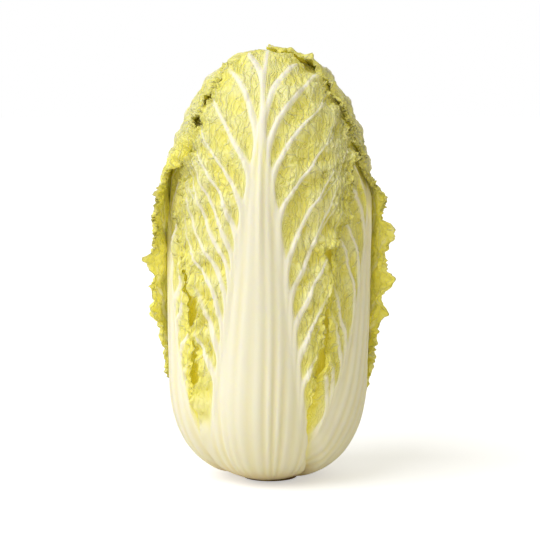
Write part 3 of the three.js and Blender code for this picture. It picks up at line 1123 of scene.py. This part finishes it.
    @staticmethod
    def _shape(mesh: bpy.types.Mesh, habit: RingHabit, outer: Array, inner: Array) -> None:
        """Move the flat shell's vertices onto the leaf's two faces."""
        flat = np.empty(len(mesh.vertices) * 3)
        mesh.vertices.foreach_get("co", flat)
        flat = flat.reshape(-1, 3)
        column = np.rint((flat[:, 0] + 1.0) / 2.0 * habit.columns).astype(int)
        row = np.rint((flat[:, 1] + 1.0) / 2.0 * habit.rows).astype(int)
        back = flat[:, 2] < -0.5
        place = mesh.attributes.new("place", "FLOAT_VECTOR", "POINT")
        places = np.stack([column, row, back], -1).astype(np.float32)
        place.data.foreach_set("vector", places.ravel())
        shaped = np.where(back[:, None], inner[column, row], outer[column, row]) * MM
        mesh.vertices.foreach_set("co", shaped.astype(np.float32).ravel())
        mesh.update()

    def _store(self, mesh: bpy.types.Mesh, fields: dict[str, Array]) -> None:
        """Keep fields on the mesh, by name, for the finish to read."""
        column, row, _ = self._places(mesh)
        for name, values in fields.items():
            attribute = mesh.attributes.new(name, "FLOAT", "POINT")
            attribute.data.foreach_set("value", values[column, row].astype(np.float32))

    def _unwrap(self, mesh: bpy.types.Mesh, name: str, first: Array, second: Array) -> None:
        """Give the leaf a flat map in metres, from two of its fields."""
        column, row, back = self._places(mesh)
        flat = np.stack([first[column, row] + back * self.BACK_APART, second[column, row]], -1) * MM
        corners = np.empty(len(mesh.loops), int)
        mesh.loops.foreach_get("vertex_index", corners)
        layer = mesh.uv_layers.new(name=name)
        layer.data.foreach_set("uv", flat[corners].astype(np.float32).ravel())


HABITS = {
    Ring.OUTER: RingHabit(
        172, 280, blade=1.3, frill=1.0,
        left=((0.0, 46.0), (0.06, 42.0), (0.12, 35.0), (0.3, 34.0), (0.45, 40.0), (0.6, 47.0),
              (0.8, 47.0)),
        right=((0.0, 46.0), (0.06, 42.0), (0.12, 34.0), (0.3, 30.0), (0.42, 37.0), (0.55, 44.0),
               (0.8, 46.0))),
    Ring.SIDE: RingHabit(
        160, 240, blade=1.3, frill=0.95,
        left=((0.0, 44.0), (0.06, 40.0), (0.15, 36.0), (0.3, 35.0), (0.42, 32.0), (0.52, 34.0),
              (0.65, 40.0), (0.8, 46.0)),
        right=((0.0, 44.0), (0.06, 40.0), (0.15, 32.0), (0.3, 26.0), (0.45, 28.0), (0.65, 40.0),
               (0.8, 46.0))),
    Ring.INNER: RingHabit(110, 150, blade=1.2, frill=0.4, relief=0.8),
    Ring.HEART: RingHabit(64, 90, blade=1.1, frill=0.2, relief=0.6),
}


# ---------------------------------------------------------------------------------------------
# Finishes
# ---------------------------------------------------------------------------------------------


class Graph:
    """The nodes of one material or world, added by one method."""

    def __init__(self, holder: "bpy.types.Material | bpy.types.World") -> None:
        """Start with no nodes."""
        holder.use_nodes = True
        self.holder = holder
        self.tree = holder.node_tree
        self.tree.nodes.clear()

    def node(self, kind: str, settings: dict | None = None,
             inputs: dict | None = None) -> bpy.types.Node:
        """Add a node.

        Args:
            kind: The node's type.
            settings: Properties, set first.
            inputs: Values or links of its sockets, by name or number.

        Returns:
            The new node.
        """
        node = self.tree.nodes.new(kind)
        for key, value in (settings or {}).items():
            setattr(node, key, value)
        for key, value in (inputs or {}).items():
            self._feed(node.inputs[key], value)
        return node

    def value(self, socket: bpy.types.NodeSocket) -> "Value":
        """Wrap a socket that carries a number."""
        return Value(self, socket)

    def attribute(self, name: str) -> "Value":
        """Read one field of the leaf."""
        return self.value(self.node("ShaderNodeAttribute", {"attribute_name": name}).outputs["Fac"])

    def ease(self, value: "Value", low: float, high: float) -> "Value":
        """Ease a number from 0 at low to 1 at high."""
        node = self.node("ShaderNodeMapRange", {"interpolation_type": "SMOOTHSTEP"},
                         {"Value": value, "From Min": low, "From Max": high})
        return self.value(node.outputs["Result"])

    def noise(self, where: bpy.types.NodeSocket, scale: float, detail: float = 3.0,
              roughness: float = 0.55) -> "Value":
        """Cloudy unevenness from 0 to 1."""
        node = self.node("ShaderNodeTexNoise", None, {"Vector": where, "Scale": scale, "Detail": detail,
                                                      "Roughness": roughness})
        return self.value(node.outputs["Fac"])

    def blend(self, factor: "Value", first: object, second: object) -> bpy.types.NodeSocket:
        """Mix two colours by a factor."""
        node = self.node("ShaderNodeMix", {"data_type": "RGBA", "clamp_factor": True},
                         {0: factor, 6: first, 7: second})
        return node.outputs[2]

    def stretched(self, where: bpy.types.NodeSocket, scale: Colour) -> bpy.types.NodeSocket:
        """Scale coordinates, each axis by its own factor."""
        return self.node("ShaderNodeMapping", None, {"Vector": where, "Scale": scale}).outputs["Vector"]

    def bump(self, height: "Value", distance: float, strength: float = 1.0) -> bpy.types.NodeSocket:
        """Turn a height into a normal."""
        node = self.node("ShaderNodeBump", None, {"Height": height, "Distance": distance,
                                                  "Strength": strength})
        return node.outputs["Normal"]

    def finish(self, shader: bpy.types.NodeSocket) -> bpy.types.Material:
        """Send a shader to the surface and return the material."""
        self.node("ShaderNodeOutputMaterial", None, {"Surface": shader})
        return self.holder

    def _feed(self, socket: bpy.types.NodeSocket, value: object) -> None:
        """Link a socket, or set it to a number, a vector or a colour."""
        source = value.socket if isinstance(value, Value) else value
        if isinstance(source, bpy.types.NodeSocket):
            self.tree.links.new(source, socket)
        elif socket.type == "RGBA":
            socket.default_value = (*source, 1.0)
        else:
            socket.default_value = source


class Value:
    """A number in a material, so that sums on it add Math nodes."""

    def __init__(self, graph: Graph, socket: bpy.types.NodeSocket) -> None:
        """Wrap a socket."""
        self.graph = graph
        self.socket = socket

    def _math(self, operation: str, first: object, second: object) -> "Value":
        """Add a Math node on two numbers."""
        node = self.graph.node("ShaderNodeMath", {"operation": operation}, {0: first, 1: second})
        return Value(self.graph, node.outputs[0])

    def __add__(self, other: object) -> "Value":
        """Sum."""
        return self._math("ADD", self, other)

    def __radd__(self, other: object) -> "Value":
        """Sum, from the right."""
        return self._math("ADD", other, self)

    def __sub__(self, other: object) -> "Value":
        """Difference."""
        return self._math("SUBTRACT", self, other)

    def __rsub__(self, other: object) -> "Value":
        """Difference, from the right."""
        return self._math("SUBTRACT", other, self)

    def folded(self) -> "Value":
        """Distance to the nearest whole number."""
        return self._math("PINGPONG", self, 0.5)

    def __mul__(self, other: object) -> "Value":
        """Product."""
        return self._math("MULTIPLY", self, other)

    def __rmul__(self, other: object) -> "Value":
        """Product, from the right."""
        return self._math("MULTIPLY", other, self)


def tint(red: int, green: int, blue: int) -> Colour:
    """A colour named by its display values, as the light it reflects."""
    levels = [value / 255.0 for value in (red, green, blue)]
    return tuple(v / 12.92 if v <= 0.04045 else ((v + 0.055) / 1.055) ** 2.4 for v in levels)


@dataclass(frozen=True)
class LeafFinish:
    """Living leaf: cream stalk and veins, lemon blade; painted shade gives deeper yellow in its hollows
    and grooves, deep-lying places are yellower partly by their own colour and partly as painted shade,
    and a painted glow stands in for light shining through.
    """

    name: str
    blade: Colour = tint(255, 252, 176)
    # Painted shade: deeper yellow for the blade's low places.
    hollow_shade: Colour = tint(252, 243, 132)
    margin: Colour = tint(253, 244, 118)
    # Colour of deep-lying places: partly their own yellower colour, partly painted shade.
    deep_and_shaded: Colour = tint(249, 235, 104)
    # Painted light: the colour of a glow that stands in for light shining through the leaf.
    painted_glow: Colour = tint(116, 110, 24)
    stalk: Colour = tint(252, 249, 234)
    stalk_shade: Colour = tint(246, 239, 204)
    vein: Colour = tint(251, 248, 204)
    foot: Colour = tint(232, 206, 156)
    subsurface: float = 0.4
    subsurface_radius: Colour = (1.0, 0.88, 0.2)
    subsurface_scale: float = 0.003
    specular: float = 0.35
    roughness: float = 0.5
    net_scale: float = 210.0
    bump_height: float = 0.0013

    CLOUDS = 55.0
    SPECKS = 420.0
    GRAIN = 700.0
    MARGIN_BAND = 18.0
    STREAKS = (260.0, 9.0, 1.0)
    WRINKLES = (230.0, 330.0, 1.0)
    PALE = (0.18, 0.85)
    BLADE = (0.2, 0.6)
    FOOT = (0.004, 0.034)

    def material(self) -> bpy.types.Material:
        """Make the finish."""
        g = Graph(bpy.data.materials.new(self.name))
        flat = g.node("ShaderNodeUVMap", {"uv_map": "leaf"}).outputs["UV"]
        net = g.node("ShaderNodeUVMap", {"uv_map": "net"}).outputs["UV"]
        place = g.node("ShaderNodeTexCoord").outputs["Object"]
        pale, hollow_shade, margin, deep_and_shaded, lit, groove, way, apart = (g.attribute(name) for name in (
            "pale", "hollow_shade", "margin", "deep_and_shaded", "lit", "groove", "way", "apart"))
        travel = g.value(g.node("ShaderNodeSeparateXYZ", None, {0: flat}).outputs["Y"])

        mottle = g.noise(place, self.CLOUDS, 4.0)
        speckle = g.noise(place, self.SPECKS, 3.0, 0.6)
        # Painted shade: low places on the blade take the deeper yellow, with real mottling.
        colour = g.blend(g.ease(hollow_shade + (mottle - 0.5) * 0.5, 0.2, 1.0), self.blade, self.hollow_shade)
        colour = g.blend((1.0 - g.ease(margin, 0.0, self.MARGIN_BAND)) * 0.8, colour, self.margin)
        # Deep-lying places turn deeper yellow, partly their own colour and partly painted shade; the
        # painted glow adds to it.
        colour = g.blend(deep_and_shaded * 0.75 + lit * 0.25, colour, self.deep_and_shaded)
        meshes = g.node("ShaderNodeTexVoronoi",
                        {"feature": "DISTANCE_TO_EDGE", "voronoi_dimensions": "2D"},
                        {"Vector": net, "Scale": self.net_scale, "Randomness": 0.95})
        wall = g.value(meshes.outputs["Distance"])
        thread = 1.0 - g.ease(wall + (speckle - 0.5) * 0.05, 0.015, 0.085)
        bend = g.noise(flat, 75.0, 2.0)
        rung = (way * 0.12 - apart * 0.11 + bend * 2.2).folded()
        near_vein = (1.0 - g.ease(apart, 5.0, 13.0)) * g.ease(way, 6.0, 20.0)
        branch = (1.0 - g.ease(rung, 0.02, 0.09)) * near_vein
        blade = 1.0 - g.ease(pale, *self.BLADE)
        colour = g.blend((thread * 0.2 + branch * 0.55) * blade, colour, self.vein)
        streaks = g.noise(g.stretched(flat, self.STREAKS), 1.0, 2.0)
        shade = g.ease(groove + (streaks - 0.5) * 0.5, 0.0, 1.0) * 0.7
        cream = g.blend(shade, self.stalk, self.stalk_shade)
        colour = g.blend(g.ease(pale + (mottle - 0.5) * 0.12, *self.PALE), colour, cream)
        at_foot = 1.0 - g.ease(travel + (mottle - 0.5) * 0.012, *self.FOOT)
        colour = g.blend(at_foot * 0.7, colour, self.foot)

        wrinkle = g.noise(g.stretched(net, self.WRINKLES), 1.0, 3.0, 0.55)
        grain = g.noise(place, self.GRAIN, 2.0)
        pillow = g.ease(wall, 0.0, 0.3)
        soft = blade * (wrinkle * 0.4 + pillow * 0.4 + branch * 0.6 + thread * 0.12) + grain * 0.03
        rough = self.roughness + (mottle - 0.5) * 0.14 - pale * 0.06
        # The emission is painted light, a glow where the lit field is high.
        skin = g.node("ShaderNodeBsdfPrincipled", None, {
            "Base Color": colour, "Roughness": rough, "Normal": g.bump(soft, self.bump_height),
            "Emission Color": g.blend(lit, (0.0, 0.0, 0.0), self.painted_glow), "Emission Strength": 1.0,
            "Subsurface Weight": self.subsurface, "Subsurface Radius": self.subsurface_radius,
            "Subsurface Scale": self.subsurface_scale, "Specular IOR Level": self.specular})
        return g.finish(skin.outputs["BSDF"])


@dataclass(frozen=True)
class CutFinish:
    """The trimmed butt: pale flesh that has dried tan and brown where the knife went."""

    name: str = "core_flesh"
    flesh: Colour = tint(206, 184, 132)
    dried: Colour = tint(120, 84, 44)
    roughness: float = 0.7

    def material(self) -> bpy.types.Material:
        """Make the finish."""
        g = Graph(bpy.data.materials.new(self.name))
        place = g.node("ShaderNodeTexCoord").outputs["Object"]
        stain = g.noise(place, 90.0, 5.0)
        grain = g.noise(place, 700.0, 3.0)
        height = g.value(g.node("ShaderNodeSeparateXYZ", None, {0: place}).outputs["Z"])
        dried = (1.0 - g.ease(height, 0.0, 0.006)) * g.ease(stain, 0.25, 0.7)
        colour = g.blend(dried, self.flesh, self.dried)
        skin = g.node("ShaderNodeBsdfPrincipled", None, {
            "Base Color": colour, "Roughness": self.roughness + (grain - 0.5) * 0.2,
            "Normal": g.bump(grain * 0.6 + stain * 0.4, 0.0006),
            "Subsurface Weight": 0.15, "Subsurface Radius": (1.0, 0.7, 0.3), "Subsurface Scale": 0.003})
        return g.finish(skin.outputs["BSDF"])


# ---------------------------------------------------------------------------------------------
# The object
# ---------------------------------------------------------------------------------------------


@dataclass
class CabbageHead:
    """The whole head: its butt, its heart and four rings of leaves."""

    skin: HeadShape
    outer_finish: LeafFinish = LeafFinish("outer_leaf_skin")
    side_finish: LeafFinish = LeafFinish("side_leaf_skin")
    # Inner and heart leaves get darker, deeper yellow colours: partly their own colour, partly painted
    # shade of the gaps they are seen through.
    inner_finish: LeafFinish = LeafFinish("inner_leaf_skin", blade=tint(236, 224, 120),
                                          hollow_shade=tint(220, 198, 64), margin=tint(226, 208, 80))
    heart_finish: LeafFinish = LeafFinish("heart_leaf_skin", blade=tint(240, 224, 110),
                                          hollow_shade=tint(226, 200, 60), margin=tint(230, 206, 70))
    cut_finish: CutFinish = CutFinish()

    def leaves(self) -> list[Leaf]:
        """Plan the leaves, from the outside in."""
        front_veins = Veins(
            left=(92.0, 110.0, 126.0, 142.0, 157.0, 171.0, 187.0, 208.0, 236.0, 264.0, 288.0),
            right=(88.0, 108.0, 128.0, 148.0, 168.0, 200.0, 232.0, 254.0, 274.0))
        outer = [
            Leaf("outer_leaf_back_right", Ring.OUTER, 32.0, 0.0, 9.0, lean=-2.0, tip=91.0, flare=9.5,
                 flare_rise=(0.24, 0.46), flare_fall=(0.56, 0.7), roll=1.8, seed=11,
                 left=((0.0, 46.0), (0.06, 40.0), (0.12, 30.0), (0.2, 29.0), (0.3, 36.0), (0.42, 40.0),
                       (0.5, 42.0), (0.57, 45.0), (0.62, 53.0), (0.68, 56.0), (0.85, 56.0))),
            Leaf("outer_leaf_front", Ring.OUTER, -99.0, 0.0, 9.0, lean=4.0, tip=88.0, flare=1.5,
                 seed=12, veins=front_veins,
                 left=((0.0, 58.0), (0.05, 46.0), (0.1, 41.0), (0.17, 42.0), (0.28, 41.0), (0.36, 40.0),
                       (0.41, 37.5), (0.47, 44.0), (0.52, 50.0), (0.59, 54.0), (0.63, 54.0), (0.7, 47.0),
                       (0.8, 36.0), (0.92, 32.0)),
                 right=((0.0, 54.0), (0.06, 43.0), (0.125, 32.0), (0.2, 31.0), (0.27, 33.5), (0.34, 38.0),
                        (0.385, 38.0), (0.45, 43.0), (0.505, 43.0), (0.52, 37.0), (0.545, 46.0),
                        (0.576, 52.0), (0.66, 56.0), (0.76, 59.0), (0.85, 57.0))),
            Leaf("outer_leaf_back_left", Ring.OUTER, 145.0, 0.0, 9.0, lean=2.0, tip=92.0, flare=9.5,
                 flare_rise=(0.22, 0.4), flare_fall=(0.66, 0.92), roll=1.8, seed=13,
                 right=((0.0, 46.0), (0.06, 40.0), (0.12, 30.0), (0.22, 27.0), (0.3, 35.0), (0.42, 42.0),
                        (0.5, 48.0), (0.57, 55.0), (0.64, 62.0), (0.72, 68.0), (0.92, 76.0))),
        ]
        narrow = Stalk(half_width=36.0, reach=235.0, widest=27.0, foot_spread=28.0)
        side = [
            Leaf("side_leaf_right", Ring.SIDE, -52.0, 0.5, 8.0, lean=38.0, lean_end=0.65, tip=80.0,
                 seed=21, stalk=narrow,
                 left=((0.0, 46.0), (0.06, 36.0), (0.12, 29.0), (0.18, 36.0), (0.25, 40.0), (0.31, 31.0),
                       (0.37, 34.0), (0.42, 36.0), (0.48, 38.0), (0.65, 42.0), (0.8, 44.0)),
                 right=((0.0, 56.0), (0.06, 52.0), (0.15, 44.0), (0.3, 34.0), (0.45, 30.0), (0.65, 38.0),
                        (0.8, 44.0))),
            Leaf("side_leaf_left", Ring.SIDE, -158.0, 0.5, 8.0, lean=-19.0, lean_end=0.65, tip=78.0,
                 seed=22, stalk=Stalk(half_width=36.0, reach=212.0, widest=27.0, foot_spread=28.0),
                 right=((0.0, 46.0), (0.06, 38.0), (0.12, 29.0), (0.2, 26.0), (0.3, 29.0), (0.36, 32.0),
                        (0.45, 33.0), (0.51, 30.0), (0.57, 36.0), (0.7, 42.0), (0.85, 44.0))),
            Leaf("side_leaf_back", Ring.SIDE, 90.0, 0.5, 8.0, tip=80.0, seed=23),
        ]
        slim = Stalk(half_width=26.0, widest=18.0, foot_spread=6.0)
        inner = [Leaf(f"inner_leaf_{i + 1}", Ring.INNER, azimuth, depth, rib, tip=tip, seed=31 + i,
                      stalk=slim)
                 for i, (azimuth, depth, rib, tip) in enumerate((
                     (-48.0, 6.0, 4.0, 86.0), (60.0, 7.0, 4.0, 84.0), (184.0, 6.0, 4.0, 82.0),
                     (0.0, 16.0, 5.0, 84.0), (120.0, 16.0, 5.0, 82.0), (-120.0, 16.0, 5.0, 80.0)))]
        heart = [Leaf(f"heart_leaf_{i + 1}", Ring.HEART, azimuth, depth, rib, tip=tip, seed=41 + i)
                 for i, (azimuth, depth, rib, tip) in enumerate((
                     (-45.0, 24.0, 4.0, 78.0), (75.0, 24.0, 4.0, 78.0), (-165.0, 24.0, 4.0, 78.0),
                     (15.0, 31.0, 3.0, 76.0), (135.0, 31.0, 3.0, 76.0), (-105.0, 31.0, 3.0, 76.0)))]
        return outer + side + inner + heart

    def build(self) -> None:
        """Build every piece, dress it and set it on its body."""
        finishes = {Ring.OUTER: self.outer_finish.material(), Ring.SIDE: self.side_finish.material(),
                    Ring.INNER: self.inner_finish.material(), Ring.HEART: self.heart_finish.material()}
        builder = LeafBuilder(self.skin, LeafStack(self.skin))
        for leaf in self.leaves():
            piece = builder.build(leaf)
            piece.data.materials.append(finishes[leaf.ring])
            settle(piece, leaf.name)
        self._dress_node("heart_bud", self.cut_finish.material())
        self._dress_node("core_stem", self.cut_finish.material())

    @staticmethod
    def _dress_node(name: str, material: bpy.types.Material) -> None:
        """Give a carried-over solid its finish."""
        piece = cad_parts[name]
        piece.data.materials.clear()
        piece.data.materials.append(material)
        log.info("%s keeps its solid and gets %s", name, material.name)


def settle(piece: bpy.types.Object, node: str) -> None:
    """Set a finished piece on its body in place of the plain solid of the same leaf."""
    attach(piece, BODY)
    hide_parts(node)
    log.info("%s: %d faces", piece.name, len(piece.data.polygons))


# ---------------------------------------------------------------------------------------------
# Studio
# ---------------------------------------------------------------------------------------------


@dataclass(frozen=True)
class Studio:
    """A plain pale floor, soft light from the upper left and a long lens."""

    floor_radius: float = 9.0
    camera_distance: float = 1.35
    camera_elevation: float = 6.0
    frame_width: float = 0.3705
    aim_height: float = 0.1435
    sky: float = 0.46
    sun: float = 2.1
    sun_angle: float = 60.0
    sun_direction: tuple[float, float, float] = (0.72, 0.5, -0.8)
    lamp_colour: Colour = (1.0, 0.995, 0.985)
    sky_colour: Colour = (1.0, 0.94, 0.72)
    floor_lift: float = 0.49
    floor_paint: Colour = (0.8, 0.82, 0.9)
    bounce_paint: Colour = (0.78, 0.745, 0.62)

    def build(self) -> None:
        """Set the floor, the lights and the camera."""
        self._floor()
        self._light()
        self._camera()

    def _floor(self) -> None:
        """Lay a wide pale disc under the head."""
        disc = bmesh.new()
        bmesh.ops.create_circle(disc, cap_ends=True, segments=96, radius=self.floor_radius)
        mesh = bpy.data.meshes.new("floor")
        disc.to_mesh(mesh)
        disc.free()
        floor = bpy.data.objects.new("floor", mesh)
        bpy.context.scene.collection.objects.link(floor)
        g = Graph(bpy.data.materials.new("pale_floor"))
        plain = g.node("ShaderNodeBsdfDiffuse", None, {"Color": self.bounce_paint})
        paint = g.node("ShaderNodeBsdfDiffuse", None, {"Color": self.floor_paint})
        bright = g.node("ShaderNodeEmission", None, {"Color": self.lamp_colour,
                                                     "Strength": self.floor_lift})
        lifted = g.node("ShaderNodeAddShader", None, {0: paint.outputs[0], 1: bright.outputs[0]})
        path = g.node("ShaderNodeLightPath")
        seen = g.node("ShaderNodeMixShader", None, {0: path.outputs["Is Camera Ray"], 1: plain.outputs[0],
                                                    2: lifted.outputs[0]})
        mesh.materials.append(g.finish(seen.outputs[0]))

    def _light(self) -> None:
        """Light the head with a wide soft sun and a white sky."""
        lamp = bpy.data.lights.new("key", "SUN")
        lamp.energy = self.sun
        lamp.angle = math.radians(self.sun_angle)
        lamp.color = self.lamp_colour
        key = bpy.data.objects.new("key", lamp)
        key.rotation_euler = Vector(self.sun_direction).to_track_quat("-Z", "Y").to_euler()
        bpy.context.scene.collection.objects.link(key)
        g = Graph(bpy.data.worlds.new("sky"))
        seen = g.node("ShaderNodeBackground", None, {"Strength": 1.0, "Color": (1.0, 1.0, 1.0)})
        lit = g.node("ShaderNodeBackground", None, {"Strength": self.sky, "Color": self.sky_colour})
        path = g.node("ShaderNodeLightPath")
        mix = g.node("ShaderNodeMixShader", None, {0: path.outputs["Is Camera Ray"], 1: lit.outputs[0],
                                                   2: seen.outputs[0]})
        g.node("ShaderNodeOutputWorld", None, {"Surface": mix.outputs[0]})
        bpy.context.scene.world = g.holder
        bpy.context.scene.view_settings.view_transform = "Standard"

    def _camera(self) -> None:
        """Stand the camera a little above the floor, in front of the head."""
        lens = bpy.data.cameras.new("camera")
        lens.lens = lens.sensor_width * self.camera_distance / self.frame_width
        camera = bpy.data.objects.new("camera", lens)
        rise = math.radians(self.camera_elevation)
        back = Vector((0.0, -math.cos(rise), math.sin(rise)))
        camera.location = Vector((0.0, 0.0, self.aim_height)) + back * self.camera_distance
        camera.rotation_euler = (-back).to_track_quat("-Z", "Y").to_euler()
        bpy.context.scene.collection.objects.link(camera)
        bpy.context.scene.camera = camera


def main() -> None:
    """Build the head and its studio."""
    logging.basicConfig(level=logging.INFO, format="%(name)s: %(message)s")
    skin = HeadShape(height=CAD_BOX[1].z / MM, radius=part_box("side_leaf_back")[1].y / MM + 0.5)
    CabbageHead(skin).build()
    Studio().build()


if __name__ == "__main__":
    main()
